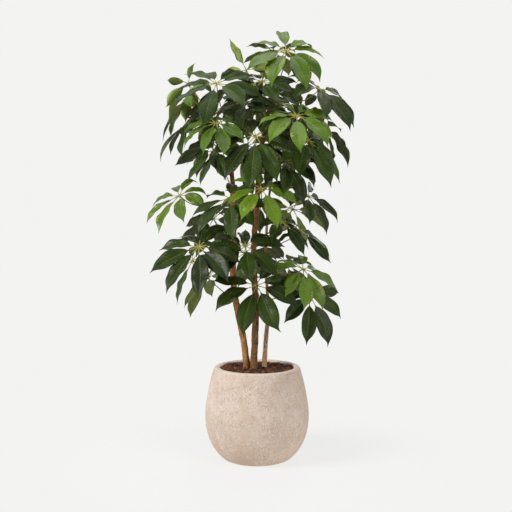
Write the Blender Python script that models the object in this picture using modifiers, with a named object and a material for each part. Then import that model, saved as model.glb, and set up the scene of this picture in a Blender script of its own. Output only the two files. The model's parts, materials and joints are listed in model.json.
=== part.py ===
"""Potted umbrella plant: a stone-look planter, potting soil, three woody stems and their palmate leaves,
each leaf a stalk that ends in a hub with seven to nine hanging leaflets.

Metres, +Z up. The origin is the centre of the planter's foot, and the plant's front faces -Y.
A leaf's heading is the compass way it leans: 0 to the front, 90 to +X, 180 to the back.
"""

import math
import random
from collections import namedtuple

import bmesh
import bpy
from mathutils import Quaternion, Vector
from mathutils.bvhtree import BVHTree

UP = Vector((0.0, 0.0, 1.0))

# Planter
POT_HEIGHT = 0.352
BELLY_RADIUS = 0.2015
BELLY_HEIGHT = 0.170
FOOT_SHARE = 0.645          # foot radius over belly radius
BELLY_POWER = 2.25          # how square the lower curve is
RIM_TAPER = 0.174           # share of the belly radius lost by the rim
RIM_POWER = 1.55
WALL = 0.022
FLOOR = 0.026
LIP_ROUND = 0.006
TURNED_STEPS = 36

# Filling
SEAT_GAP = 0.0003
SOIL_TOP = 0.343
SOIL_DOME = 0.009
ROOT_DEPTH = 0.050          # how far each stem reaches below the soil's top

# Leaf
STALK_RADIUS = 0.0023
STALK_FOOT_RADIUS = 0.0036
STALK_START = 0.012         # the stalk leaves the bark square for this far
HUB_RADIUS = 0.0052
HUB_HEIGHT = 0.0060
STALKLET = 0.150            # each leaflet's own stalk, as a share of its length
STALKLET_WIDTH = 0.0036
KEEL = 0.0022               # depth of the midrib under the blade
BLADE_WIDTH = 0.39          # widest place, as a share of the blade's length
BLADE_STATIONS = ((0.22, 0.78), (0.54, 1.00), (0.82, 0.62))   # (share of length, share of width)
MIDRIB_STEPS = 20
LEAFLET_TWIST = 9.0         # each leaflet turns a little about its own midrib, so neighbours shingle
INNER_SIZE = 0.66           # size of the leaflet nearest the stalk against the outermost

# Growing room
BLADE_ROOM = 0.0035
OWN_ROOM = 0.0006
STALK_ROOM = 0.0020
TURN_TRIES = (0, 6, -6, 12, -12, 18, -18)
DROOP_TRIES = (0, 8, -8, 16, -16, 26, -26, 36)
SIZE_TRIES = (1.0, 0.88, 0.75, 0.62)
HEIGHT_TRIES = (0.0, 0.012, -0.012, 0.024, -0.024, 0.036, -0.036, 0.05, -0.05)

COLOURS = {
    "pot_stone": ((0.62, 0.52, 0.43), 0.85),
    "potting_soil": ((0.05, 0.03, 0.02), 0.95),
    "stem_bark": ((0.30, 0.17, 0.08), 0.80),
    "mature_leaf": ((0.03, 0.07, 0.025), 0.35),
    "young_leaf": ((0.14, 0.30, 0.03), 0.40),
}

# Each stem as (x, y, z, radius) up its centre line, from the soil surface to its growing tip.
STEMS = {
    "stem_middle": (
        (-0.013, -0.014, 0.335, 0.0145), (-0.010, -0.012, 0.420, 0.0130), (-0.005, -0.010, 0.520, 0.0140),
        (-0.005, -0.006, 0.620, 0.0125), (-0.014, 0.000, 0.760, 0.0115), (-0.011, 0.004, 0.880, 0.0105),
        (0.003, 0.004, 1.000, 0.0110), (0.008, 0.002, 1.120, 0.0110), (0.022, 0.004, 1.240, 0.0095),
        (0.048, 0.004, 1.350, 0.0080), (0.070, 0.000, 1.440, 0.0060),
    ),
    "stem_left": (
        (-0.037, 0.014, 0.335, 0.0145), (-0.048, 0.014, 0.420, 0.0130), (-0.062, 0.016, 0.510, 0.0130),
        (-0.082, 0.018, 0.590, 0.0130), (-0.094, 0.020, 0.680, 0.0135), (-0.094, 0.026, 0.780, 0.0125),
        (-0.090, 0.034, 0.880, 0.0110), (-0.092, 0.040, 1.000, 0.0100), (-0.100, 0.044, 1.130, 0.0090),
        (-0.112, 0.040, 1.240, 0.0075), (-0.120, 0.030, 1.330, 0.0055),
    ),
    "stem_right": (
        (0.028, 0.030, 0.335, 0.0100), (0.032, 0.030, 0.420, 0.0095), (0.040, 0.032, 0.510, 0.0085),
        (0.046, 0.034, 0.600, 0.0072), (0.034, 0.038, 0.700, 0.0060), (0.034, 0.042, 0.800, 0.0054),
        (0.040, 0.046, 0.920, 0.0050), (0.046, 0.052, 1.020, 0.0048), (0.066, 0.060, 1.120, 0.0046),
        (0.092, 0.064, 1.210, 0.0044), (0.112, 0.062, 1.290, 0.0040),
    ),
}

# Each leaf: the stem and height that carry it, its hub, the way and amount it leans, the turn of its
# first leaflet from the way it leans, leaflet length, leaflet count, sag, and its age.
Leaf = namedtuple("Leaf", "stem height hub heading tilt turn length count sag slot")
C, L, R = "stem_middle", "stem_left", "stem_right"
OLD, NEW = "mature_leaf", "young_leaf"
LEAVES = (
    # crown, seen from the front
    Leaf(C, 1.425, (0.110, -0.050, 1.560), 0, 46, 16, 0.222, 9, 0.85, NEW),
    Leaf(L, 1.320, (-0.150, -0.110, 1.425), -5, 40, 4, 0.212, 9, 0.42, OLD),
    Leaf(C, 1.240, (0.143, -0.170, 1.296), 12, 40, 8, 0.205, 9, 0.75, NEW),
    Leaf(C, 1.130, (-0.005, -0.200, 1.219), -5, 58, 4, 0.222, 9, 0.55, OLD),
    Leaf(C, 1.330, (0.239, -0.050, 1.414), 50, 45, 0, 0.215, 8, 0.90, OLD),
    Leaf(L, 1.200, (-0.150, -0.150, 1.272), -5, 40, 12, 0.175, 8, 0.90, NEW),
    Leaf(L, 1.290, (-0.270, 0.020, 1.405), -80, 48, 0, 0.200, 8, 1.20, NEW),
    Leaf(L, 1.180, (-0.265, 0.000, 1.300), -65, 48, 10, 0.185, 8, 1.00, OLD),
    Leaf(L, 1.100, (-0.162, 0.000, 1.190), -30, 52, 0, 0.175, 8, 0.80, OLD),
    Leaf(C, 1.100, (0.194, -0.080, 1.218), 40, 52, 0, 0.210, 9, 0.80, OLD),
    Leaf(R, 1.040, (0.108, -0.120, 1.135), 25, 55, 20, 0.180, 8, 0.70, OLD),
    Leaf(C, 1.380, (-0.040, 0.030, 1.505), 130, 55, 0, 0.212, 4, 0.05, NEW),
    Leaf(C, 1.350, (0.020, -0.070, 1.440), -10, 38, 20, 0.180, 8, 0.50, OLD),
    Leaf(R, 1.200, (0.090, -0.050, 1.360), 15, 32, 10, 0.175, 8, 0.60, OLD),
    Leaf(C, 1.220, (-0.055, -0.060, 1.365), -10, 35, 0, 0.175, 8, 0.60, OLD),
    Leaf(C, 1.170, (0.120, -0.020, 1.270), 30, 45, 0, 0.180, 8, 0.70, OLD),
    Leaf(L, 1.270, (-0.275, 0.100, 1.466), -150, 60, 36, 0.130, 5, 0.45, NEW),
    # middle and lower tiers, seen from the front
    Leaf(C, 0.940, (0.015, -0.215, 1.029), 0, 42, 28, 0.185, 7, 0.70, NEW),
    Leaf(L, 0.930, (-0.298, -0.050, 1.013), -40, 45, 0, 0.175, 8, 0.90, NEW),
    Leaf(L, 0.910, (-0.100, -0.170, 0.997), -20, 42, -13, 0.195, 8, 0.60, OLD),
    Leaf(L, 0.740, (-0.210, -0.195, 0.822), -15, 48, -8, 0.225, 10, 0.50, OLD),
    Leaf(L, 0.700, (-0.250, -0.030, 0.765), -50, 55, 0, 0.185, 7, 0.90, OLD),
    Leaf(C, 0.740, (-0.042, -0.170, 0.825), -5, 42, -6, 0.190, 8, 0.60, OLD),
    Leaf(C, 0.600, (-0.002, -0.195, 0.682), 0, 50, 18, 0.210, 8, 0.50, OLD),
    Leaf(C, 0.700, (0.172, -0.120, 0.738), 35, 42, 24, 0.185, 8, 0.90, NEW),
    Leaf(R, 0.610, (0.205, -0.050, 0.628), 30, 62, 25, 0.200, 8, 0.60, OLD),
    Leaf(C, 0.830, (0.097, -0.060, 0.912), 45, 42, 0, 0.165, 7, 0.90, OLD),
    Leaf(R, 0.800, (0.168, -0.020, 0.879), 55, 42, 10, 0.165, 8, 0.80, OLD),
    Leaf(R, 0.920, (0.199, 0.000, 1.016), 55, 50, 0, 0.180, 8, 0.80, OLD),
    # back of the plant
    Leaf(C, 1.400, (0.070, 0.060, 1.585), 170, 15, 10, 0.175, 8, 0.50, NEW),
    Leaf(C, 1.290, (0.000, 0.190, 1.420), 180, 45, 10, 0.195, 9, 0.60, OLD),
    Leaf(L, 1.250, (-0.170, 0.160, 1.370), -145, 45, 0, 0.190, 8, 0.70, OLD),
    Leaf(R, 1.270, (0.190, 0.160, 1.370), 140, 45, 0, 0.190, 8, 0.70, OLD),
    Leaf(C, 1.070, (-0.040, 0.215, 1.230), 190, 50, 0, 0.195, 8, 0.60, NEW),
    Leaf(R, 1.100, (0.160, 0.205, 1.210), 150, 50, 10, 0.190, 8, 0.70, OLD),
    Leaf(L, 1.060, (-0.190, 0.190, 1.235), -140, 45, 0, 0.180, 8, 0.70, OLD),
    Leaf(R, 1.160, (0.270, 0.080, 1.290), 105, 45, 0, 0.185, 8, 0.90, OLD),
    Leaf(C, 0.900, (-0.010, 0.210, 1.010), 175, 50, 10, 0.190, 8, 0.60, OLD),
    Leaf(L, 0.830, (-0.180, 0.170, 0.930), -140, 48, 0, 0.190, 8, 0.70, OLD),
    Leaf(R, 0.870, (0.150, 0.180, 0.970), 140, 48, 0, 0.185, 8, 0.70, NEW),
    Leaf(C, 0.690, (-0.050, 0.205, 0.790), 190, 50, 0, 0.190, 8, 0.60, OLD),
    Leaf(R, 0.680, (0.120, 0.180, 0.750), 145, 50, 0, 0.185, 8, 0.60, OLD),
    Leaf(L, 0.620, (-0.200, 0.130, 0.690), -120, 50, 0, 0.180, 7, 0.80, NEW),
)


def clear_scene():
    for obj in list(bpy.data.objects):
        bpy.data.objects.remove(obj)


def new_collection(name):
    collection = bpy.data.collections.new(name)
    bpy.context.scene.collection.children.link(collection)
    return collection


def make_material(slot):
    colour, roughness = COLOURS[slot]
    material = bpy.data.materials.new(slot)
    material.use_nodes = True
    shader = material.node_tree.nodes["Principled BSDF"]
    shader.inputs["Base Color"].default_value = (*colour, 1.0)
    shader.inputs["Roughness"].default_value = roughness
    shader.inputs["Metallic"].default_value = 0.0
    return material


def add_object(name, data, collection, material):
    obj = bpy.data.objects.new(name, data)
    data.materials.append(material)
    collection.objects.link(obj)
    return obj


# Planter and soil

def pot_radius(z):
    """Outer radius of the planter at height z."""
    if z < BELLY_HEIGHT:
        depth = (BELLY_HEIGHT - z) / BELLY_HEIGHT
        reach = (1 - FOOT_SHARE ** BELLY_POWER) * depth ** BELLY_POWER
        return BELLY_RADIUS * (1 - reach) ** (1 / BELLY_POWER)
    rise = (z - BELLY_HEIGHT) / (POT_HEIGHT - BELLY_HEIGHT)
    return BELLY_RADIUS * (1 - RIM_TAPER * rise ** RIM_POWER)


def inner_wall(high):
    """(radius, height) points up the planter's inner wall, as far as a height."""
    return [(pot_radius(z) - WALL, z) for z in heights(FLOOR + 0.010, high, 6)]


def heights(low, high, count):
    return [low + (high - low) * i / (count - 1) for i in range(count)]


def turned(name, profile, collection, material):
    """A solid turned about Z from (radius, height) points that end on the axis."""
    mesh = bpy.data.meshes.new(name)
    edges = [(i, i + 1) for i in range(len(profile) - 1)]
    mesh.from_pydata([(r, 0.0, z) for r, z in profile], edges, [])
    obj = add_object(name, mesh, collection, material)
    screw = obj.modifiers.new("turn", "SCREW")
    screw.steps = TURNED_STEPS
    screw.render_steps = TURNED_STEPS
    screw.use_merge_vertices = True
    screw.merge_threshold = 0.0001
    screw.use_smooth_shade = True
    return obj


def make_pot(collection, material):
    """The planter: inside from the floor's centre up to the lip, then down the outside to the foot's centre."""
    inner = inner_wall(SOIL_TOP - SOIL_DOME)
    inner.append((pot_radius(POT_HEIGHT) - WALL, POT_HEIGHT - LIP_ROUND))
    outer = [(pot_radius(z), z) for z in heights(POT_HEIGHT - LIP_ROUND, 0.004, 10)]
    lip_in = (pot_radius(POT_HEIGHT) - WALL + LIP_ROUND * 0.7, POT_HEIGHT)
    lip_out = (pot_radius(POT_HEIGHT) - LIP_ROUND, POT_HEIGHT)
    foot = (pot_radius(0.0) - 0.004, 0.0)
    profile = [(0.0, FLOOR), (inner[0][0] - 0.012, FLOOR), *inner, lip_in, lip_out, *outer, foot, (0.0, 0.0)]
    return turned("pot", profile, collection, material)


def make_soil(collection, material):
    """The soil: over its domed top, down the pot's inner wall and in to the floor's centre."""
    wall = [(r - SEAT_GAP, z) for r, z in reversed(inner_wall(SOIL_TOP - SOIL_DOME))]
    crown = [(wall[0][0] * share, SOIL_TOP - SOIL_DOME * share * share) for share in (0.35, 0.70)]
    base = (wall[-1][0] - 0.012, FLOOR + SEAT_GAP)
    return turned("potting_soil", [(0.0, SOIL_TOP), *crown, *wall, base, (0.0, FLOOR + SEAT_GAP)],
                  collection, material)


# Stems

def stem_curve(name, stem, extra, collection, material):
    """A stem as a tapering tube. Its foot carries on straight down into the soil."""
    x, y, z, radius = stem[0]
    foot = (x, y, SOIL_TOP - ROOT_DEPTH - extra, radius)
    data = bpy.data.curves.new(name, "CURVE")
    data.dimensions = "3D"
    data.bevel_depth = 1.0
    data.bevel_resolution = 2
    data.resolution_u = 1
    data.use_fill_caps = True
    spline = data.splines.new("NURBS")
    points = (foot, *stem)
    spline.points.add(len(points) - 1)
    spline.order_u = 3
    spline.use_endpoint_u = True
    for point, (px, py, pz, pr) in zip(spline.points, points):
        point.co = (px, py, pz, 1.0)
        point.radius = pr + extra
    return add_object(name, data, collection, material)


def mesh_from_curve(curve, collection):
    """The curve's evaluated tube as a closed mesh object, in place of the curve."""
    name = curve.name
    bpy.context.view_layer.update()
    graph = bpy.context.evaluated_depsgraph_get()
    mesh = bpy.data.meshes.new_from_object(curve.evaluated_get(graph))
    work = bmesh.new()
    work.from_mesh(mesh)
    bmesh.ops.remove_doubles(work, verts=work.verts, dist=0.00001)
    bmesh.ops.recalc_face_normals(work, faces=work.faces)
    work.to_mesh(mesh)
    work.free()
    obj = bpy.data.objects.new(name + "_solid", mesh)
    obj.matrix_world = curve.matrix_world
    collection.objects.link(obj)
    bpy.data.objects.remove(curve)
    obj.name = name
    mesh.shade_smooth()
    return obj


def make_stems(collection, cutters, material):
    """The three stems, and a slightly fatter cutter for each one's socket in the soil."""
    stems, sockets = {}, []
    for name, stem in STEMS.items():
        stems[name] = mesh_from_curve(stem_curve(name, stem, 0.0, collection, material), collection)
        socket = mesh_from_curve(stem_curve(name + "_socket", stem, SEAT_GAP, cutters, material), cutters)
        socket.hide_render = True
        socket.display_type = "WIRE"
        sockets.append(socket)
    return stems, sockets


def cut_sockets(obj, sockets):
    for socket in sockets:
        cut = obj.modifiers.new(socket.name, "BOOLEAN")
        cut.operation = "DIFFERENCE"
        cut.solver = "EXACT"
        cut.object = socket


def tree_of(obj):
    work = bmesh.new()
    work.from_mesh(obj.data)
    tree = BVHTree.FromBMesh(work)
    work.free()
    return tree


# Leaves

def lean(heading, tilt):
    """Unit vector tilted from vertical by tilt towards a compass heading, both in degrees."""
    h, t = math.radians(heading), math.radians(tilt)
    return Vector((math.sin(h) * math.sin(t), -math.cos(h) * math.sin(t), math.cos(t)))


def stem_point(stem, height):
    """A point on a stem's centre line at a height."""
    for low, high in zip(STEMS[stem], STEMS[stem][1:]):
        if low[2] <= height <= high[2]:
            share = (height - low[2]) / (high[2] - low[2])
            return Vector(low[:3]).lerp(Vector(high[:3]), share)
    return Vector(STEMS[stem][-1][:3])


def bezier(a, b, c, d, t):
    s = 1 - t
    return a * s**3 + b * (3 * s * s * t) + c * (3 * s * t * t) + d * t**3


def stalk_route(leaf, normal, stem_tree, height):
    """Centre line of a leaf's stalk, from its seat on the bark to under the hub, and the seat's normal."""
    axis = stem_point(leaf.stem, height)
    hub = Vector(leaf.hub)
    out = Vector((hub.x - axis.x, hub.y - axis.y, 0.0)).normalized()
    seat, square, _, _ = stem_tree.ray_cast(axis + out * 0.1, -out)
    start = seat + square * SEAT_GAP
    first = start + square * STALK_START
    end = hub - normal * HUB_HEIGHT
    span = (end - first).length
    leave = (square + UP * 0.9).normalized()
    curve = (first, first + leave * span * 0.35, end - normal * span * 0.30, end)
    return [start, *(bezier(*curve, t) for t in (0.0, 0.36, 0.70)), end]


def stalk_rings(route, normal, across, count):
    """Rings of points round the stalk, from under the hub down to the seat."""
    rings = []
    directions = []
    for i in range(len(route)):
        low, high = route[max(i - 1, 0)], route[min(i + 1, len(route) - 1)]
        directions.append((high - low).normalized())
    directions[-1] = normal
    directions[0] = (route[1] - route[0]).normalized()
    current, side = normal, across
    for i in range(len(route) - 1, -1, -1):
        side = current.rotation_difference(directions[i]) @ side
        current = directions[i]
        share = 1 - i / (len(route) - 1)
        radius = STALK_RADIUS + (STALK_FOOT_RADIUS - STALK_RADIUS) * share**3
        if i == len(route) - 1:
            radius = HUB_RADIUS * 0.72
        rings.append([
            route[i] + (Quaternion(current, -2 * math.pi * k / count) @ side) * radius for k in range(count)
        ])
    return rings


def midrib(root, direction, length, sag):
    """Points and directions along a leaflet that starts one way and bends down under its own weight."""
    points, directions = [root.copy()], [direction.copy()]
    point = root.copy()
    for i in range(MIDRIB_STEPS):
        share = (i + 0.5) / MIDRIB_STEPS
        way = (direction - UP * sag * share**1.2).normalized()
        point = point + way * (length / MIDRIB_STEPS)
        points.append(point.copy())
        directions.append(way)
    return points, directions


def along(values, share):
    place = share * (len(values) - 1)
    i = min(int(place), len(values) - 2)
    return values[i].lerp(values[i + 1], place - i)


def leaflet_line(root, direction, side, length, sag):
    """A leaflet's stations as (point, across, up, width), ending in its tip with no width."""
    points, directions = midrib(root, direction, length, sag)
    width = BLADE_WIDTH * length * (1 - STALKLET)
    stations = [(STALKLET, STALKLET_WIDTH)]
    stations += [(STALKLET + (1 - STALKLET) * place, width * share) for place, share in BLADE_STATIONS]
    line = []
    for place, across in (*stations, (1.0, 0.0)):
        way = along(directions, place).normalized()
        edge = (side - way * side.dot(way)).normalized()
        line.append((along(points, place), edge, edge.cross(way).normalized(), across))
    return line


def leaflet_rings(line):
    """Three-cornered rings (left edge, right edge, keel) along a leaflet, and its tip."""
    rings = []
    for point, edge, up, width in line[:-1]:
        rings.append((point - edge * width / 2, point + edge * width / 2, point - up * KEEL))
    return rings, line[-1][0]


def leaflet_hull(line, room):
    """A search tree of a leaflet with room to spare all round it, and its corners."""
    rings = []
    for point, edge, up, width in line:
        reach, rise = edge * (width / 2 + room), up * room
        keel = up * (KEEL * (width > 0) + room)
        rings.append((point - reach + rise, point + reach + rise, point + reach - rise, point - keel,
                      point - reach - rise))
    before = line[0][0] + (line[0][0] - line[1][0]).normalized() * room
    beyond = line[-1][0] + (line[-1][0] - line[-2][0]).normalized() * room
    return lofted_tree(before, rings, beyond)


def lofted_tree(root, rings, tip):
    """A search tree of rings of corners closed to a point at each end, and all its corners."""
    count = len(rings[0])
    verts = [root] + [corner for ring in rings for corner in ring] + [tip]
    faces = [(0, 1 + i, 1 + (i + 1) % count) for i in range(count)]
    for k in range(len(rings) - 1):
        a, b = k * count + 1, (k + 1) * count + 1
        for i in range(count):
            j = (i + 1) % count
            faces += [(a + i, a + j, b + j), (a + i, b + j, b + i)]
    last = (len(rings) - 1) * count + 1
    faces += [(last + i, last + (i + 1) % count, len(verts) - 1) for i in range(count)]
    return BVHTree.FromPolygons(verts, faces), verts


def box_of(points):
    return (
        Vector((min(p.x for p in points), min(p.y for p in points), min(p.z for p in points))),
        Vector((max(p.x for p in points), max(p.y for p in points), max(p.z for p in points))),
    )


def boxes_meet(a, b):
    return all(a[0][i] <= b[1][i] and b[0][i] <= a[1][i] for i in range(3))


class Room:
    """What has grown so far, for finding a clear place for the next piece."""

    def __init__(self):
        self.grown = []

    def add(self, owner, tree, points):
        self.grown.append((owner, tree, box_of(points)))

    def is_clear(self, tree, points, ignore=()):
        box = box_of(points)
        for owner, other, other_box in self.grown:
            if owner in ignore or not boxes_meet(box, other_box):
                continue
            if tree.overlap(other):
                return False
        return True


def grow_stalk(name, leaf, normal, across, stem_trees, room):
    """The rings of the first stalk, up or down the stem, that clears everything grown so far."""
    corners = hub_corners(leaf, normal, across)
    for shift in HEIGHT_TRIES:
        route = stalk_route(leaf, normal, stem_trees[leaf.stem], leaf.height + shift)
        rings = stalk_rings(route, normal, across, leaf.count)
        fat = [widened(ring, STALK_ROOM) for ring in [corners, *rings]]
        own_stem, _ = lofted_tree(route[-1], fat[:-2], route[1])
        if own_stem.overlap(stem_trees[leaf.stem]):
            continue
        if room.is_clear(*lofted_tree(Vector(leaf.hub) + normal * STALK_ROOM, fat, route[0]), ignore=(leaf.stem,)):
            break
    room.add(name, *lofted_tree(Vector(leaf.hub), [corners, *rings], route[0]))
    return rings


def widened(ring, room):
    centre = sum(ring, Vector()) / len(ring)
    return [point + (point - centre).normalized() * room for point in ring]


def hub_corners(leaf, normal, across):
    """Top ring of the hub. Leaflet k grows between corners k and k + 1."""
    hub = Vector(leaf.hub)
    step = 2 * math.pi / leaf.count
    return [hub + (Quaternion(normal, (k - 0.5) * -step) @ across) * HUB_RADIUS for k in range(leaf.count)]


def grow_leaflet(leaf, normal, across, k, dice, room, name, own):
    """The rings of leaflet k in the clearest place near its own angle."""
    step = 360.0 / leaf.count
    wander = dice.uniform(-7, 7)
    lift = dice.uniform(-8, 12)
    sag = leaf.sag * dice.uniform(0.7, 1.4)
    size = leaf.length * dice.uniform(0.92, 1.05)
    twist = LEAFLET_TWIST + dice.uniform(-5, 5)
    for scale in SIZE_TRIES:
        for droop in DROOP_TRIES:
            for turn in TURN_TRIES:
                angle = k * step + leaf.turn
                radial = Quaternion(normal, math.radians(-(k * step) - wander - turn)) @ across
                outward = math.cos(math.radians((angle + 180) % 360 - 180) / 2) ** 3
                length = size * scale * (INNER_SIZE + (1 - INNER_SIZE) * outward)
                direction = (radial * math.cos(math.radians(lift - droop))
                             + normal * math.sin(math.radians(lift - droop))).normalized()
                side = Quaternion(direction, math.radians(twist)) @ direction.cross(normal).normalized()
                root = Vector(leaf.hub) + radial * HUB_RADIUS - normal * (HUB_HEIGHT * 0.35)
                line = leaflet_line(root, direction, side, length, sag)
                whole = [(root, *line[0][1:]), *line]
                if not room.is_clear(*leaflet_hull(whole, BLADE_ROOM), ignore=(name,)):
                    continue
                snug, _ = leaflet_hull(line, OWN_ROOM)
                if any(snug.overlap(other) for other in own):
                    continue
                return root, *leaflet_rings(line)
    return None


def leaf_mesh(name, corners, stalk, leaflets):
    """One closed surface: the hub's top, a leaflet or a plain facet at each side, and the stalk below."""
    work = bmesh.new()
    top = [work.verts.new(p) for p in corners]
    below = [[work.verts.new(p) for p in ring] for ring in stalk]
    count = len(top)
    work.faces.new(top[::-1])
    for k in range(count):
        after = (k + 1) % count
        bottom, bottom_after = below[0][k], below[0][after]
        work.faces.new((top[after], bottom_after, bottom))
        if leaflets[k] is None:
            work.faces.new((top[k], top[after], bottom))
            continue
        _, rings, tip = leaflets[k]
        last = (top[k], top[after], bottom)
        for ring in rings:
            new = [work.verts.new(p) for p in ring]
            for i in range(3):
                j = (i + 1) % 3
                work.faces.new((last[i], last[j], new[j]))
                work.faces.new((last[i], new[j], new[i]))
            last = new
        end = work.verts.new(tip)
        for i in range(3):
            work.faces.new((last[i], last[(i + 1) % 3], end))
    for upper, lower in zip(below, below[1:]):
        for k in range(count):
            after = (k + 1) % count
            work.faces.new((upper[k], upper[after], lower[after]))
            work.faces.new((upper[k], lower[after], lower[k]))
    work.faces.new(below[-1])
    bmesh.ops.recalc_face_normals(work, faces=work.faces)
    mesh = bpy.data.meshes.new(name)
    work.to_mesh(mesh)
    work.free()
    return mesh


def make_leaves(collection, materials, stems):
    stem_trees = {name: tree_of(obj) for name, obj in stems.items()}
    room = Room()
    for name, obj in stems.items():
        room.add(name, stem_trees[name], [v.co for v in obj.data.vertices])
    names = [f"leaf_{i:02d}" for i in range(1, len(LEAVES) + 1)]
    plans = []
    for name, leaf in zip(names, LEAVES):
        normal = lean(leaf.heading, leaf.tilt)
        downhill = (lean(leaf.heading, 90.0) - normal * lean(leaf.heading, 90.0).dot(normal)).normalized()
        across = Quaternion(normal, math.radians(-leaf.turn)) @ downhill
        stalk = grow_stalk(name, leaf, normal, across, stem_trees, room)
        plans.append((normal, across, stalk))
    for number, (name, leaf, (normal, across, stalk)) in enumerate(zip(names, LEAVES, plans)):
        dice = random.Random(1000 + number)
        leaflets, own = [], [lofted_tree(stalk[1][0], stalk[1:], stalk[-1][0])[0]]
        for k in range(leaf.count):
            found = grow_leaflet(leaf, normal, across, k, dice, room, name, own)
            if found is None:
                leaflets.append(None)
                continue
            root, rings, tip = found
            tree, corners = lofted_tree(root, rings, tip)
            own.append(tree)
            leaflets.append(found)
            room.add(name, tree, corners)
        mesh = leaf_mesh(name, hub_corners(leaf, normal, across), stalk, leaflets)
        add_object(name, mesh, collection, materials[leaf.slot])


def main():
    clear_scene()
    plant = new_collection("potted_umbrella_plant")
    cutters = new_collection("cutters")
    materials = {slot: make_material(slot) for slot in COLOURS}
    make_pot(plant, materials["pot_stone"])
    stems, sockets = make_stems(plant, cutters, materials["stem_bark"])
    cut_sockets(make_soil(plant, materials["potting_soil"]), sockets)
    make_leaves(plant, materials, stems)


main()
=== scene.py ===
"""Looks of the potted umbrella plant: leaf blades with midribs and veins, barked stems, loose bark and coir
on the soil, and a turned stone-composite planter. Metres, +Z up, the plant's front faces -Y.
"""

import json
import math
import random

import bmesh
import bpy
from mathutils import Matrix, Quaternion, Vector, noise

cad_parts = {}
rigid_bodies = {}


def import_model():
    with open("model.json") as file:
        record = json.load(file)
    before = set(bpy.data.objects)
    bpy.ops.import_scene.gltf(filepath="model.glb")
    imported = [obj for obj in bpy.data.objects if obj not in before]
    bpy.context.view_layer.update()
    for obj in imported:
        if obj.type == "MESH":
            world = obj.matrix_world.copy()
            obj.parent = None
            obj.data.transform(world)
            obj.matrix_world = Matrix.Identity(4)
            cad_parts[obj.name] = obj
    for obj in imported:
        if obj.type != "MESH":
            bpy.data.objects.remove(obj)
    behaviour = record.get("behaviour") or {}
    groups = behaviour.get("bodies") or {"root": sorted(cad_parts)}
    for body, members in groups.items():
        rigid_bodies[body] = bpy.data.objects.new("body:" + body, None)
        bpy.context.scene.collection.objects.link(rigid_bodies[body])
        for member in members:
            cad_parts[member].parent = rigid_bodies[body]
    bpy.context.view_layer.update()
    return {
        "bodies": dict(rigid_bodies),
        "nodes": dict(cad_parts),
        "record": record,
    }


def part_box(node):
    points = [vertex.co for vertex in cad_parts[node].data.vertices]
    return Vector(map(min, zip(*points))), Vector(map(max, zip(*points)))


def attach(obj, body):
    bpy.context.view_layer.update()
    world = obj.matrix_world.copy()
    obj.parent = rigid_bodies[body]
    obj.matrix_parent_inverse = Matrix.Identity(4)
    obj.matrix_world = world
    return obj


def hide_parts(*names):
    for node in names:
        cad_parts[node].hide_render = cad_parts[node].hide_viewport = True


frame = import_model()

UP = Vector((0.0, 0.0, 1.0))

# Leaf blades
BLADE_SPANS = 22            # sections along a blade
TOP_POINTS = 11             # points across the top of a blade, edges included
UNDER_POINTS = 3
BLADE_THICKNESS = 0.0006
MIDRIB_DEPTH = 0.0011
STALKLET_RADIUS = 0.0013
STALKLET_SPANS = 3
BLADE_OUTLINE = (           # (share of length, share of the widest half-width)
    (0.00, 0.04), (0.05, 0.19), (0.12, 0.45), (0.22, 0.75), (0.32, 0.92), (0.42, 0.99), (0.51, 1.00),
    (0.60, 0.95), (0.69, 0.82), (0.77, 0.62), (0.83, 0.40), (0.88, 0.20), (0.93, 0.09), (1.00, 0.0),
)
BLADE_LEAST_HALF = 0.0009   # half-width just before the tip
BLADE_ROUND_END = 0.09      # share of the blade over which the round stalk flattens out
ROOT_REACH = 0.10           # how far from the hub a leaflet's stalk starts
BLADE_STEP = 0.002          # step for the direction of a blade's midrib
TOP_SLOT, UNDER_SLOT, STALK_SLOT = 0, 1, 2

# Leaf stalks
STALK_SIDES = 10
STALK_SPANS = 22
STALK_RADIUS = 0.0021
STALK_TAPER = 0.0004
FOOT_SWELL, FOOT_END = 0.0014, 0.07     # extra radius at the bark, and the share where it ends
HUB_SWELL, HUB_START = 0.0024, 0.93     # extra radius at the hub, and the share where it starts

# Planter
POT_SIDES = 160
FOOT_SHARE = 0.645
BELLY_SHARE = 0.483         # height of the widest place over the planter's height
BELLY_POWER = 2.25
RIM_TAPER = 0.174
RIM_POWER = 1.55
WALL = 0.022
LIP_OUTER = 0.0066
LIP_INNER = 0.0050
POT_FLOOR = 0.0262
OUTSIDE_RANGE = (0.012, 0.980)          # shares of the height
INSIDE_RANGE = (0.955, 0.105)
OUTSIDE_STEPS = 48
INSIDE_STEPS = 15
POT_WOBBLE = 0.0025

# Bark
STEM_NODES = ("stem_left", "stem_middle", "stem_right")
BARK_SIDES = 28
BARK_STEP = 0.005
STEM_STEP = 0.004           # step for the direction of a stem
SCAR_START = 0.02
SCAR_SIZES = (0.0008, 0.0022)
SCAR_GAPS = (0.022, 0.050)
SCAR_SLANT = 0.004
SCAR_WIDTH = 0.0035
TIP_ROUNDING = 0.012        # length over which a stem's end rounds off
GREEN_TIP = 0.030
BARK_SLOT, BUD_SLOT = 0, 1

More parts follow.
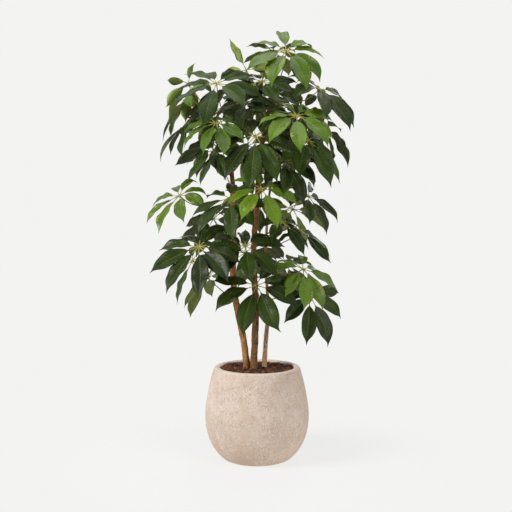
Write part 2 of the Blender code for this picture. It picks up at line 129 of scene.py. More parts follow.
# Soil
SOIL_ROWS = 34
SOIL_SIDES = 72
SOIL_GAP = 0.0006           # between the filling and the planter's wall
SOIL_SHARES = (0.80, 0.55, 0.30, 0.12)  # heights of the hidden rings, over the planter's
BED_TONE = (0.35, 0.5, 0.0)
FIBRE_TONE = (0.9, 0.5, 0.0)
FIBRE_RADIUS = 0.0004
FIBRE_POINTS = 5
FIBRE_STEP = 0.004
CRUMBS = 620
FIBRES = 60
CRUMB_SLOT, BED_SLOT = 0, 1
BOX_CORNERS = (
    (-1, -1, -1), (1, -1, -1), (1, 1, -1), (-1, 1, -1), (-1, -1, 1), (1, -1, 1), (1, 1, 1), (-1, 1, 1),
)
BOX_FACES = ((0, 3, 2, 1), (4, 5, 6, 7), (0, 1, 5, 4), (1, 2, 6, 5), (2, 3, 7, 6), (3, 0, 4, 7))

# Studio
FLOOR_COLOUR = (0.15, 0.15, 0.15, 1.0)
FLOOR_GLOW = 0.82
FLOOR_FADE = (0.30, 0.85)   # distances from the planter
WORLD_COLOUR = (1.0, 0.99, 0.97, 1.0)
WORLD_LIGHT = 0.15
LAMPS = (                   # name, place, aim, size, watts
    ("key", (-3.1, -1.5, 2.3), (0.0, 0.0, 0.8), (1.5, 1.5), 143.0),
    ("fill", (2.4, -2.4, 1.5), (0.0, 0.0, 0.8), (1.8, 2.2), 69.0),
    ("top", (0.0, 0.0, 3.4), (0.0, 0.0, 0.9), (2.2, 2.2), 26.0),
    ("rim", (0.8, 2.6, 2.2), (0.0, 0.0, 1.0), (1.6, 1.6), 20.0),
)
CAMERA_PLACE = (-0.0039, -2.787, 0.861)
CAMERA_FALL = 0.080 / 2.787             # how much the view falls over its length
HALF_VIEW = 256 / 720                   # half the view's width over its distance


def linear(red, green, blue):
    """A display colour of 0 to 255 as the linear colour that a shader takes."""
    out = []
    for value in (red, green, blue):
        c = value / 255.0
        out.append(c / 12.92 if c <= 0.04045 else ((c + 0.055) / 1.055) ** 2.4)
    return (*out, 1.0)


BACKGROUND = linear(243, 243, 241)


# Shader building

def socket(group, name, direction, kind="NodeSocketFloat", value=None):
    made = group.interface.new_socket(name=name, in_out=direction, socket_type=kind)
    if value is not None:
        made.default_value = value
    return made


class Tree:
    """Short calls for building one node tree."""

    def __init__(self, tree):
        self.tree = tree

    def node(self, kind, **settings):
        made = self.tree.nodes.new(kind)
        for name, value in settings.items():
            setattr(made, name, value)
        return made

    def link(self, out, into):
        self.tree.links.new(out, into)

    def set(self, into, value):
        if isinstance(value, bpy.types.NodeSocket):
            self.link(value, into)
        else:
            into.default_value = value

    def math(self, operation, a, b=0.0, clamp=False):
        made = self.node("ShaderNodeMath", operation=operation, use_clamp=clamp)
        self.set(made.inputs[0], a)
        self.set(made.inputs[1], b)
        return made.outputs[0]

    def range(self, value, low, high, to_low=0.0, to_high=1.0, smooth=False):
        kind = "SMOOTHSTEP" if smooth else "LINEAR"
        made = self.node("ShaderNodeMapRange", interpolation_type=kind)
        for place, given in zip(made.inputs, (value, low, high, to_low, to_high)):
            self.set(place, given)
        return made.outputs["Result"]

    def mix(self, share, a, b):
        made = self.node("ShaderNodeMix", data_type="RGBA")
        self.set(made.inputs["Factor"], share)
        self.set(made.inputs[6], a)
        self.set(made.inputs[7], b)
        return made.outputs[2]

    def noise(self, place, scale, detail=3.0, roughness=0.55, distortion=0.0):
        made = self.node("ShaderNodeTexNoise")
        self.set(made.inputs["Vector"], place)
        made.inputs["Scale"].default_value = scale
        made.inputs["Detail"].default_value = detail
        made.inputs["Roughness"].default_value = roughness
        made.inputs["Distortion"].default_value = distortion
        return made.outputs["Fac"]

    def stretched(self, place, scale):
        made = self.node("ShaderNodeMapping")
        self.set(made.inputs["Vector"], place)
        made.inputs["Scale"].default_value = scale
        return made.outputs["Vector"]

    def height_above_floor(self):
        parts = self.node("ShaderNodeSeparateXYZ")
        self.link(self.node("ShaderNodeTexCoord").outputs["Object"], parts.inputs[0])
        return parts.outputs[2]

    def bump(self, height, strength, distance):
        made = self.node("ShaderNodeBump")
        made.inputs["Strength"].default_value = strength
        made.inputs["Distance"].default_value = distance
        self.set(made.inputs["Height"], height)
        return made.outputs["Normal"]


def new_material(name):
    material = bpy.data.materials.new(name)
    material.use_nodes = True
    tree = Tree(material.node_tree)
    return material, tree, material.node_tree.nodes["Principled BSDF"]


def new_group(name, inputs, outputs):
    """A node group, its tree helper, and its input and output nodes."""
    group = bpy.data.node_groups.new(name, "ShaderNodeTree")
    for title, kind, value in inputs:
        socket(group, title, "INPUT", kind, value)
    for title, kind in outputs:
        socket(group, title, "OUTPUT", kind)
    tree = Tree(group)
    return group, tree, tree.node("NodeGroupInput").outputs, tree.node("NodeGroupOutput").inputs


def leaf_veins_group():
    """Masks of a blade's midrib and side veins from its own across-and-along map."""
    group, t, given, put = new_group(
        "leaf_veins",
        [("Vein Count", "NodeSocketFloat", 11.0), ("Vein Slant", "NodeSocketFloat", 4.2)],
        [("Midrib", "NodeSocketFloat"), ("Veins", "NodeSocketFloat"), ("Across", "NodeSocketFloat"),
         ("Along", "NodeSocketFloat")],
    )
    uv = t.node("ShaderNodeUVMap", uv_map="blade")
    parts = t.node("ShaderNodeSeparateXYZ")
    t.link(uv.outputs[0], parts.inputs[0])
    across = t.math("MULTIPLY", t.math("ABSOLUTE", t.math("SUBTRACT", parts.outputs[0], 0.5)), 2.0)
    along = parts.outputs[1]
    rib_half = t.range(along, 0.0, 1.0, 0.060, 0.016)
    midrib = t.range(t.math("DIVIDE", across, rib_half), 0.35, 1.0, 1.0, 0.0, smooth=True)
    wobble = t.noise(t.stretched(uv.outputs[0], (3.0, 5.0, 1.0)), 2.0, 2.0)
    slant = t.math("MULTIPLY", given["Vein Slant"], 0.42)
    phase = t.math("SUBTRACT", t.math("MULTIPLY", along, given["Vein Count"]),
                   t.math("MULTIPLY", t.math("POWER", across, 0.8), slant))
    phase = t.math("ADD", phase, t.math("MULTIPLY", wobble, 0.55))
    saw = t.math("ABSOLUTE", t.math("SUBTRACT", t.math("FRACT", phase), 0.5))
    veins = t.range(saw, 0.03, 0.16, 1.0, 0.0, smooth=True)
    fade = t.range(across, 0.55, 0.98, 1.0, 0.0)
    t.link(midrib, put["Midrib"])
    t.link(t.math("MULTIPLY", veins, fade), put["Veins"])
    t.link(across, put["Across"])
    t.link(along, put["Along"])
    return group


def mottle_group():
    """A slow and a fine mottle, each at its own scale."""
    group, t, given, put = new_group(
        "mottle",
        [("Scale", "NodeSocketFloat", 10.0), ("Fine Scale", "NodeSocketFloat", 80.0)],
        [("Slow", "NodeSocketFloat"), ("Fine", "NodeSocketFloat")],
    )
    place = t.node("ShaderNodeTexCoord").outputs["Object"]
    for title, scale in (("Slow", given["Scale"]), ("Fine", given["Fine Scale"])):
        made = t.node("ShaderNodeTexNoise")
        t.link(place, made.inputs["Vector"])
        t.link(scale, made.inputs["Scale"])
        made.inputs["Detail"].default_value = 4.0
        t.link(t.range(made.outputs["Fac"], 0.3, 0.7), put[title])
    return group


def use_group(tree, group, **values):
    made = tree.node("ShaderNodeGroup", node_tree=group)
    for name, value in values.items():
        made.inputs[name.replace("_", " ")].default_value = value
    return made.outputs


def tones_of(tree):
    """(tone of the leaflet, tone of the whole leaf, how green a stalk is), each 0 to 1."""
    tones = tree.node("ShaderNodeAttribute", attribute_name="tone")
    parts = tree.node("ShaderNodeSeparateColor")
    tree.link(tones.outputs["Color"], parts.inputs[0])
    return parts.outputs[0], parts.outputs[1], parts.outputs[2]


def leaf_top_material(name, deep, light, rib, roughness, shine, groups):
    """The upper face of a blade: deep to light green by leaflet, paler midrib and veins, soft waxy gloss."""
    material, t, shader = new_material(name)
    veins = use_group(t, groups["veins"], Vein_Count=12.0)
    patch = use_group(t, groups["mottle"], Scale=22.0, Fine_Scale=260.0)
    leaflet, leaf, _ = tones_of(t)
    share = t.math("ADD", t.math("MULTIPLY", leaflet, 0.45), t.math("MULTIPLY", leaf, 0.55))
    share = t.math("ADD", share, t.math("MULTIPLY", t.math("SUBTRACT", patch["Slow"], 0.5), 0.30), clamp=True)
    green = t.mix(share, deep, light)
    edge = t.math("MULTIPLY", t.range(veins["Across"], 0.80, 1.0, smooth=True), 0.25)
    green = t.mix(edge, green, light)
    green = t.mix(t.math("MULTIPLY", veins["Veins"], 0.10), green, rib)
    rib_shows = t.math("MULTIPLY", veins["Midrib"], t.range(veins["Along"], 0.05, 0.95, 0.85, 0.25))
    green = t.mix(rib_shows, green, rib)
    t.link(green, shader.inputs["Base Color"])
    shader.inputs["Specular IOR Level"].default_value = shine
    rough = t.math("ADD", roughness, t.math("MULTIPLY", patch["Fine"], 0.06))
    rough = t.math("ADD", rough, t.math("MULTIPLY", patch["Slow"], 0.14))
    rough = t.math("ADD", rough, t.math("MULTIPLY", veins["Veins"], 0.06))
    t.link(rough, shader.inputs["Roughness"])
    height = t.math("SUBTRACT", patch["Slow"], t.math("MULTIPLY", veins["Veins"], 0.22))
    height = t.math("SUBTRACT", height, t.math("MULTIPLY", veins["Midrib"], 0.4))
    height = t.math("ADD", height, t.math("MULTIPLY", patch["Fine"], 0.04))
    t.link(t.bump(height, 0.50, 0.0014), shader.inputs["Normal"])
    return material


def leaf_under_material(name, deep, light, rib, groups):
    """The under face of a blade: paler, duller, with a raised midrib."""
    material, t, shader = new_material(name)
    veins = use_group(t, groups["veins"], Vein_Count=12.0)
    patch = use_group(t, groups["mottle"], Scale=30.0, Fine_Scale=240.0)
    leaflet, _, _ = tones_of(t)
    share = t.math("ADD", t.math("MULTIPLY", leaflet, 0.6), t.math("MULTIPLY", patch["Slow"], 0.4))
    green = t.mix(share, deep, light)
    green = t.mix(t.math("MULTIPLY", veins["Veins"], 0.35), green, rib)
    green = t.mix(t.math("MULTIPLY", veins["Midrib"], 0.8), green, rib)
    t.link(green, shader.inputs["Base Color"])
    shader.inputs["Specular IOR Level"].default_value = 0.25
    t.link(t.math("ADD", 0.52, t.math("MULTIPLY", patch["Fine"], 0.12)), shader.inputs["Roughness"])
    t.link(t.bump(veins["Veins"], 0.4, 0.001), shader.inputs["Normal"])
    return material


def leaf_stalk_material(groups):
    """Leaf stalks: brown-olive at the bark, yellow-green at the hub and along the leaflets' own stalks."""
    material, t, shader = new_material("leaf_stalk")
    patch = use_group(t, groups["mottle"], Scale=60.0, Fine_Scale=400.0)
    _, _, greenness = tones_of(t)
    skin = t.mix(greenness, linear(112, 92, 48), linear(164, 160, 62))
    skin = t.mix(t.math("MULTIPLY", patch["Slow"], 0.25), skin, linear(110, 116, 44))
    t.link(skin, shader.inputs["Base Color"])
    t.link(t.math("ADD", 0.42, t.math("MULTIPLY", patch["Fine"], 0.15)), shader.inputs["Roughness"])
    t.link(t.bump(patch["Fine"], 0.3, 0.0006), shader.inputs["Normal"])
    return material


def bark_material(name, base, pale, dark, upper, groups):
    """Bark: long streaks and cracks, rings across the stem, corky flecks, dark knots, a redder top."""
    material, t, shader = new_material(name)
    place = t.node("ShaderNodeTexCoord").outputs["Object"]
    patch = use_group(t, groups["mottle"], Scale=26.0, Fine_Scale=420.0)
    blotch = use_group(t, groups["mottle"], Scale=60.0, Fine_Scale=150.0)
    streaks = t.range(t.noise(t.stretched(place, (150.0, 150.0, 14.0)), 1.0, 4.0), 0.35, 0.70)
    ringed = t.noise(t.stretched(place, (10.0, 10.0, 130.0)), 1.0, 3.0, 0.6, 0.4)
    rings = t.range(ringed, 0.52, 0.70, smooth=True)
    corky = t.noise(t.stretched(place, (230.0, 230.0, 120.0)), 1.0, 2.0)
    flecks = t.range(corky, 0.58, 0.68, smooth=True)
    seam = t.noise(t.stretched(place, (95.0, 95.0, 10.0)), 1.0, 2.0)
    seam = t.math("ABSOLUTE", t.math("SUBTRACT", seam, 0.5))
    cracks = t.range(seam, 0.0, 0.035, 1.0, 0.0, smooth=True)
    cells = t.node("ShaderNodeTexVoronoi", feature="F1")
    t.link(t.stretched(place, (62.0, 62.0, 34.0)), cells.inputs["Vector"])
    cells.inputs["Scale"].default_value = 1.0
    knots = t.range(cells.outputs["Distance"], 0.16, 0.30, 1.0, 0.0, smooth=True)
    knots = t.math("MULTIPLY", knots, t.range(t.noise(place, 31.0, 1.0), 0.46, 0.56))
    high = t.range(t.height_above_floor(), 0.50, 1.15, 0.0, 0.75)
    skin = t.mix(patch["Slow"], base, pale)
    skin = t.mix(high, skin, upper)
    skin = t.mix(t.math("MULTIPLY", blotch["Slow"], 0.35), skin, dark)
    skin = t.mix(t.math("MULTIPLY", streaks, 0.50), skin, dark)
    skin = t.mix(t.math("MULTIPLY", rings, 0.45), skin, dark)
    skin = t.mix(t.math("MULTIPLY", cracks, 0.60), skin, linear(70, 44, 24))
    skin = t.mix(t.math("MULTIPLY", flecks, 0.60), skin, linear(62, 40, 24))
    skin = t.mix(t.math("MULTIPLY", knots, 0.80), skin, linear(50, 32, 20))
    t.link(skin, shader.inputs["Base Color"])
    t.link(t.math("ADD", 0.70, t.math("MULTIPLY", streaks, 0.18)), shader.inputs["Roughness"])
    shader.inputs["Specular IOR Level"].default_value = 0.25
    height = t.math("ADD", t.math("MULTIPLY", streaks, -0.5), t.math("MULTIPLY", rings, -0.4))
    height = t.math("ADD", height, t.math("MULTIPLY", cracks, -0.5))
    height = t.math("ADD", height, t.math("MULTIPLY", knots, 0.6))
    height = t.math("ADD", height, t.math("MULTIPLY", patch["Fine"], 0.25))
    t.link(t.bump(height, 0.9, 0.0020), shader.inputs["Normal"])
    return material


def pot_material(groups):
    """Stone composite: pinkish beige with cream trowel marks, tan clouds, grit and small pits, with painted
    shade towards the foot and a painted highlight along the top of the lip.
    """
    material, t, shader = new_material("pot_stone")
    place = t.node("ShaderNodeTexCoord").outputs["Object"]
    cloud = use_group(t, groups["mottle"], Scale=11.0, Fine_Scale=58.0)
    grit = use_group(t, groups["mottle"], Scale=130.0, Fine_Scale=520.0)

    def scratches(lean, turn, dense):
        """Short fine strokes of the float, all leaning one way, gathered in patches."""
        made = t.node("ShaderNodeMapping", vector_type="TEXTURE")
        t.link(place, made.inputs["Vector"])
        made.inputs["Rotation"].default_value = (lean, 0.0, turn)
        made.inputs["Scale"].default_value = (0.0030, 0.0030, 0.019)
        stroke = t.range(t.noise(made.outputs["Vector"], 1.0, 2.0), 0.54, 0.70, smooth=True)
        patch = t.range(t.noise(place, dense, 1.0), 0.42, 0.60, smooth=True)
        return t.math("MULTIPLY", stroke, patch)

    stone = t.mix(cloud["Slow"], linear(218, 197, 180), linear(232, 215, 201))
    stone = t.mix(t.math("MULTIPLY", cloud["Fine"], 0.45), stone, linear(205, 181, 162))
    above_floor = t.height_above_floor()
    # painted shade: the stone darkens towards the foot, as if less light reached the lower belly
    stone = t.mix(t.range(above_floor, 0.0, 0.22, 0.85, 0.0), stone, linear(190, 166, 144))
    pale = t.math("MAXIMUM", scratches(0.75, 0.4, 17.0), scratches(-0.85, 0.9, 15.0))
    pale = t.math("MAXIMUM", pale, scratches(0.12, 2.2, 13.0))
    stone = t.mix(t.math("MULTIPLY", pale, 0.80), stone, linear(246, 234, 224))
    tan = t.range(t.noise(place, 46.0, 5.0, 0.70, 1.2), 0.52, 0.66, smooth=True)
    stone = t.mix(t.math("MULTIPLY", tan, 0.50), stone, linear(186, 158, 134))
    worn = t.math("MAXIMUM", scratches(1.10, 1.7, 14.0), scratches(-0.45, 2.6, 19.0))
    stone = t.mix(t.math("MULTIPLY", worn, 0.65), stone, linear(172, 142, 116))
    stone = t.mix(t.math("MULTIPLY", grit["Slow"], 0.14), stone, linear(172, 150, 130))
    # painted highlight: a paler band along the top of the rim, where the light catches it
    lip_highlight = t.range(above_floor, 0.346, 0.351, 0.0, 0.55, smooth=True)
    stone = t.mix(lip_highlight, stone, linear(240, 227, 214))
    cells = t.node("ShaderNodeTexVoronoi", feature="F1")
    t.link(place, cells.inputs["Vector"])
    cells.inputs["Scale"].default_value = 150.0
    sparse = t.range(t.noise(place, 20.0, 2.0), 0.48, 0.60)
    pits = t.range(cells.outputs["Distance"], 0.12, 0.26, 1.0, 0.0, smooth=True)
    pits = t.math("MULTIPLY", pits, sparse)
    stone = t.mix(t.math("MULTIPLY", pits, 0.70), stone, linear(134, 112, 92))
    t.link(stone, shader.inputs["Base Color"])
    t.link(t.math("ADD", 0.74, t.math("MULTIPLY", cloud["Fine"], 0.14)), shader.inputs["Roughness"])
    shader.inputs["Specular IOR Level"].default_value = 0.3
    height = t.math("ADD", t.math("MULTIPLY", grit["Slow"], 0.35), t.math("MULTIPLY", grit["Fine"], 0.15))
    height = t.math("ADD", height, t.math("MULTIPLY", pits, -1.0))
    height = t.math("ADD", height, t.math("MULTIPLY", pale, 0.30))
    height = t.math("SUBTRACT", height, t.math("MULTIPLY", worn, 0.25))
    height = t.math("ADD", height, t.math("MULTIPLY", cloud["Fine"], 0.5))
    t.link(t.bump(height, 0.6, 0.0012), shader.inputs["Normal"])
    return material


def soil_material(name, dark, light, groups):
    """Bark and coir: dark brown with redder and paler crumbs by place."""
    material, t, shader = new_material(name)
    patch = use_group(t, groups["mottle"], Scale=70.0, Fine_Scale=420.0)
    crumb, _, _ = tones_of(t)
    share = t.math("ADD", t.math("MULTIPLY", crumb, 0.80), t.math("MULTIPLY", patch["Slow"], 0.20))
    earth = t.mix(t.math("POWER", share, 2.0), dark, light)
    earth = t.mix(t.math("MULTIPLY", patch["Fine"], 0.25), earth, linear(34, 20, 12))
    t.link(earth, shader.inputs["Base Color"])
    t.link(t.math("ADD", 0.82, t.math("MULTIPLY", patch["Fine"], 0.12)), shader.inputs["Roughness"])
    t.link(t.bump(patch["Fine"], 0.8, 0.0015), shader.inputs["Normal"])
    return material


# Curves

def distances_along(points):
    """The distance of each point from the first one, along the line through them."""
    distances = [0.0]
    for a, b in zip(points, points[1:]):
        distances.append(distances[-1] + max((b - a).length, 1e-6))
    return distances


def smooth_line(points, count):
    """Evenly spaced points on a smooth curve through points."""
    knots = distances_along(points)
    return [curve_at(points, knots, knots[-1] * i / (count - 1)) for i in range(count)]


def curve_at(points, knots, s):
    """The point at distance s on a smooth curve through points, whose own distances are knots."""
    i = 0
    while i < len(points) - 2 and s > knots[i + 1]:
        i += 1
    a, b = points[i], points[i + 1]
    span = knots[i + 1] - knots[i]
    before = points[i - 1] if i else a - (b - a)
    after = points[i + 2] if i + 2 < len(points) else b + (b - a)
    span_before = knots[i] - knots[i - 1] if i else span
    span_after = knots[i + 2] - knots[i + 1] if i + 2 < len(points) else span
    slope_a = (b - before) * (span / (span + span_before))
    slope_b = (after - a) * (span / (span + span_after))
    t = min(max((s - knots[i]) / span, 0.0), 1.0)
    t2, t3 = t * t, t * t * t
    bends = slope_a * (t3 - 2 * t2 + t), slope_b * (t3 - t2)
    return a * (2 * t3 - 3 * t2 + 1) + bends[0] + b * (3 * t2 - 2 * t3) + bends[1]


def direction_at(points, knots, s, step):
    """The way that the curve runs at distance s, from a little before to a little after it."""
    ahead = curve_at(points, knots, min(s + step, knots[-1]))
    return (ahead - curve_at(points, knots, s - step)).normalized()


def table_at(table, share):
    """A smooth value from (share, value) rows."""
    points = [Vector((a, b, 0.0)) for a, b in table]
    return curve_at(points, [a for a, _ in table], share).y


def lerp_at(values, knots, s):
    """A vector eased from one row of values to the next, at distance s."""
    i = 0
    while i < len(values) - 2 and s > knots[i + 1]:
        i += 1
    t = min(max((s - knots[i]) / (knots[i + 1] - knots[i]), 0.0), 1.0)
    return values[i].lerp(values[i + 1], t * t * (3 - 2 * t))


# Reading the solid leaves

class SolidLeaf:
    """What a packed leaf solid says: its stalk's centre line and each leaflet's stations."""

    def __init__(self, mesh):
        work = bmesh.new()
        work.from_mesh(mesh)
        bmesh.ops.remove_doubles(work, verts=work.verts, dist=0.00001)
        work.verts.index_update()
        self.leaflets = []
        blades = set()
        roots = set()
        for tip in [v for v in work.verts if len(v.link_edges) == 3]:
            layers = layers_from({tip}, set(), 5)
            blades.update(*layers[:5])
            roots.update(layers[5])
            self.leaflets.append([[v.co.copy() for v in layer] for layer in layers[:5]])
        stalk = layers_from(roots, blades, 4)
        self.hub = middle([v.co for v in stalk[0]])
        self.stalk = [middle([v.co for v in layer]) for layer in stalk[::-1] if layer]
        work.free()


def layers_from(start, seen, count):
    """Vertices one, two, three ... edges away from start, start itself first, each layer in order."""
    layers, known = [in_order(start)], set(start) | set(seen)
    for _ in range(count):
        near = {edge.other_vert(v) for v in layers[-1] for edge in v.link_edges} - known
        layers.append(in_order(near))
        known |= near
    return layers


def in_order(verts):
    """The vertices by number, so that every run adds them up the same way."""
    return sorted(verts, key=lambda v: v.index)


def middle(points):
    return sum(points, Vector()) / len(points)


def station(corners, ahead):
    """(middle, across, up, half width) of a three-cornered ring, seen along the way ahead."""
    def spread(i):
        others = [corners[j] for j in range(3) if j != i]
        return (others[0] - corners[i]).angle(others[1] - corners[i])

    keel = max(range(3), key=spread)
    a, b = [corners[j] for j in range(3) if j != keel]
    centre = (a + b) / 2
    up = (centre - corners[keel]).normalized()
    across = ahead.cross(up).normalized()
    return centre, across, across.cross(ahead).normalized(), (a - b).length / 2


# Growing the visible leaves

class Shell:
    """Vertices, faces, their map, material and tone, gathered for one mesh."""

    def __init__(self):
        self.verts, self.faces, self.uvs, self.slots, self.tones = [], [], [], [], []

    def add(self, point, uv, tone):
        self.verts.append(point)
        self.uvs.append(uv)
        self.tones.append(tone)
        return len(self.verts) - 1

    def face(self, corners, slot):
        self.faces.append(corners)
        self.slots.append(slot)

    def mesh(self, name, materials):
        mesh = bpy.data.meshes.new(name)
        mesh.from_pydata(self.verts, [], self.faces)
        for material in materials:
            mesh.materials.append(material)
        mesh.polygons.foreach_set("material_index", self.slots)
        mesh.shade_smooth()
        uv = mesh.uv_layers.new(name="blade")
        for loop in mesh.loops:
            uv.data[loop.index].uv = self.uvs[loop.vertex_index]
        tone = mesh.attributes.new("tone", "FLOAT_COLOR", "POINT")
        tone.data.foreach_set("color", [c for tone_here in self.tones for c in (*tone_here, 1.0)])
        return mesh


def piece(name, mesh, node):
    """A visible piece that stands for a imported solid."""
    obj = bpy.data.objects.new(name, mesh)
    bpy.context.scene.collection.objects.link(obj)
    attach(obj, "root")
    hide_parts(node)
    return obj


def blade_loop(centre, across, up, half, shape, t):
    """Points round a blade's section: over the top from edge to edge, and back underneath."""
    loop = []
    for i in range(TOP_POINTS):
        u = -1 + 2 * i / (TOP_POINTS - 1)
        loop.append((centre + across * (half * u) + up * shape.rise(u, t, half), (u + 1) / 2))
    for i in range(UNDER_POINTS):
        u = 1 - 2 * (i + 1) / (UNDER_POINTS + 1)
        rib = MIDRIB_DEPTH * (1 - t) ** 0.7 if abs(u) < 0.01 else 0.0
        low = shape.rise(u, t, half) - BLADE_THICKNESS - rib
        loop.append((centre + across * (half * u) + up * low, (u + 1) / 2))
    return loop


def round_loop(centre, across, up, radius):
    """The same number of points round a circle, from the left side over the top."""
    loop = []
    for i in range(TOP_POINTS):
        angle = math.pi * (1 - i / (TOP_POINTS - 1))
        loop.append((centre + (across * math.cos(angle) + up * math.sin(angle)) * radius, 0.5))
    for i in range(UNDER_POINTS):
        angle = -math.pi * (i + 1) / (UNDER_POINTS + 1)
        loop.append((centre + (across * math.cos(angle) + up * math.sin(angle)) * radius, 0.5))
    return loop


def blade_slot(i):
    """The material slot of the face that follows point i of a section."""
    return TOP_SLOT if i < TOP_POINTS - 1 else UNDER_SLOT


class BladeShape:
    """How one blade folds, waves, twists and bends, drawn once for each leaflet."""

    def __init__(self, dice):
        self.fold = dice.uniform(0.20, 0.50)
        self.camber = dice.uniform(0.08, 0.24)
        self.waves = dice.uniform(1.4, 3.2)
        self.phase = dice.uniform(0, 2 * math.pi)
        self.lag = dice.uniform(0.4, 2.4)
        self.ripple = dice.uniform(0.0010, 0.0034)
        self.roll = dice.gauss(0, 0.10)
        self.twist = dice.gauss(0, 0.22)
        self.bow = dice.gauss(0, 0.0035)
        self.hook = dice.gauss(0, 0.0065)
        self.droop = dice.uniform(0.0, 0.012)
        self.lumps = dice.uniform(0.0022, 0.0050)
        self.where = dice.uniform(0.0, 60.0)

    def rise(self, u, t, half):
        """Height of the top face at a place across (-1 to 1) and along (0 to 1) the blade."""
        belly = math.sin(math.pi * min(t * 1.08, 1.0))
        rib = 0.00045 * math.exp(-(u / 0.10) ** 2) * (1 - t)
        wave = math.sin(self.waves * 2 * math.pi * t + self.phase + (self.lag if u > 0 else 0.0))
        pleat = 0.0005 * math.sin(2 * math.pi * (11 * t - 2.2 * abs(u))) * abs(u) * (1 - abs(u)) * 4
        lump = self.lumps * noise.noise(Vector((1.4 * u, 4.4 * t, self.where)))
        lump += 0.0008 * noise.noise(Vector((3.2 * u, 9.0 * t, self.where + 7.0)))
        bend = half * (self.fold * abs(u) - self.camber * u * u)
        return bend + (self.ripple * wave * abs(u) ** 1.6 + pleat + lump) * belly - rib

    def shift(self, t):
        """(sideways, downwards) move of the midrib."""
        end = max((t - 0.72) / 0.28, 0.0) ** 2
        return self.bow * math.sin(math.pi * t) + self.hook * end, self.droop * end

    def turn(self, t):
        """How far the blade is turned about its midrib, in radians."""
        roll = self.roll * math.sin(math.pi * min(t + 0.25, 1.0) / 1.25 * 0.8)
        return roll + self.twist * (t - 0.3) * min(t * 4, 1)


def grow_blade(shell, leaf, rings, dice, leaf_tone):
    """One leaflet: its own round stalk from the hub, then a folded, waved blade to a drawn-out tip."""
    tip = rings[0][0]
    centres = [middle(ring) for ring in rings]
    stations = []
    for i in range(len(rings) - 1, 0, -1):
        ahead = (centres[i - 1] - centres[i]).normalized()
        stations.append(station(rings[i], ahead))
    root = leaf.hub.lerp(stations[0][0], ROOT_REACH)
    points = [root, *(s[0] for s in stations), tip]
    knots = distances_along(points)
    across = [stations[0][1], *(s[1] for s in stations), stations[-1][1]]
    widest = max(s[3] for s in stations)
    start, total = knots[1], knots[-1]
    tone = (dice.random(), leaf_tone, 1.0)
    shape = BladeShape(dice)
    places = [start * i / STALKLET_SPANS for i in range(STALKLET_SPANS)]
    places += [start + (total - start) * i / BLADE_SPANS for i in range(BLADE_SPANS)]
    last = None
    for s in places:
        centre = curve_at(points, knots, s)
        ahead = direction_at(points, knots, s, BLADE_STEP)
        side = lerp_at(across, knots, s)
        side = (side - ahead * side.dot(ahead)).normalized()
        t = max(s - start, 0.0) / (total - start)
        side = Quaternion(ahead, shape.turn(t)) @ side
        up = side.cross(ahead).normalized()
        sideways, downwards = shape.shift(t)
        centre = centre + side * sideways - up * downwards
        if s < start:
            loop = round_loop(centre, side, up, STALKLET_RADIUS * (1.5 - 0.5 * s / start))
        else:
            half = max(widest * table_at(BLADE_OUTLINE, t), BLADE_LEAST_HALF)
            flat = blade_loop(centre, side, up, half, shape, t)
            rod = round_loop(centre, side, up, STALKLET_RADIUS)
            share = min(t / BLADE_ROUND_END, 1.0)
            share = share * share * (3 - 2 * share)
            loop = [(a.lerp(b, share), v) for (a, _), (b, v) in zip(rod, flat)]
        indices = [shell.add(p, (u, t), tone) for p, u in loop]
        if last is None:
            shell.face(indices[::-1], STALK_SLOT)
        else:
            for i in range(len(loop)):
                j = (i + 1) % len(loop)
                slot = STALK_SLOT if s <= start else blade_slot(i)
                shell.face((last[i], last[j], indices[j], indices[i]), slot)
        last = indices
    sideways, downwards = shape.shift(1.0)
    end = shell.add(tip + side * sideways - up * downwards, (0.5, 1.0), tone)
    for i in range(len(last)):
        shell.face((last[i], last[(i + 1) % len(last)], end), blade_slot(i))


def tube(shell, line, radii, sides, slot, tones):
    """A closed round tube along a line of points, each with its radius and tone."""
    side = perpendicular(line[1] - line[0])
    last = None
    for k, (point, radius, tone) in enumerate(zip(line, radii, tones)):
        ahead = (line[min(k + 1, len(line) - 1)] - line[max(k - 1, 0)]).normalized()
        side = (side - ahead * side.dot(ahead)).normalized()
        up = ahead.cross(side)
        v = k / (len(line) - 1)
        ring = []
        for i in range(sides):
            angle = 2 * math.pi * i / sides
            ring.append(shell.add(point + (side * math.cos(angle) + up * math.sin(angle)) * radius,
                                  (i / sides, v), tone))
        if last is None:
            shell.face(ring[::-1], slot)
        else:
            for i in range(sides):
                j = (i + 1) % sides
                shell.face((last[i], last[j], ring[j], ring[i]), slot)
        last = ring
    shell.face(last, slot)


def perpendicular(direction):
    """A unit vector square to the direction."""
    other = Vector((1.0, 0.0, 0.0)) if abs(direction.normalized().x) < 0.8 else Vector((0.0, 1.0, 0.0))
    return direction.cross(other).normalized()


def grow_stalk(shell, leaf, dice, leaf_tone):
    """The leaf's own stalk: a clasping foot on the bark, a slim tube, and a rounded knob at the hub."""
    normal = (leaf.hub - leaf.stalk[-1]).normalized()
    crown = leaf.hub + normal * 0.0030
    line = smooth_line([*leaf.stalk, leaf.hub], STALK_SPANS)
    radii = []
    for i in range(STALK_SPANS):
        t = i / (STALK_SPANS - 1)
        foot = FOOT_SWELL * max(0.0, 1 - t / FOOT_END) ** 1.5
        swell = HUB_SWELL * max(0.0, (t - HUB_START) / 0.07) ** 1.2
        radii.append(STALK_RADIUS + foot + swell - STALK_TAPER * t)
    line += [crown - normal * 0.0010, crown - normal * 0.0003]
    radii += [0.0034, 0.0018]
    stalk_tone = dice.random()
    tones = [(stalk_tone, leaf_tone, (k / (len(line) - 1)) ** 1.6) for k in range(len(line))]
    tube(shell, line, radii, STALK_SIDES, STALK_SLOT, tones)


def grow_leaf(name, node, materials, number):
    """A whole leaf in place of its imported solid."""
    solid = SolidLeaf(node.data)
    dice = random.Random(400 + number)
    shell = Shell()
    tone = dice.random()
    grow_stalk(shell, solid, dice, tone)
    for rings in solid.leaflets:
        grow_blade(shell, solid, rings, dice, tone)
    return piece(name + "_foliage", shell.mesh(name + "_foliage", materials), name)


# Stems

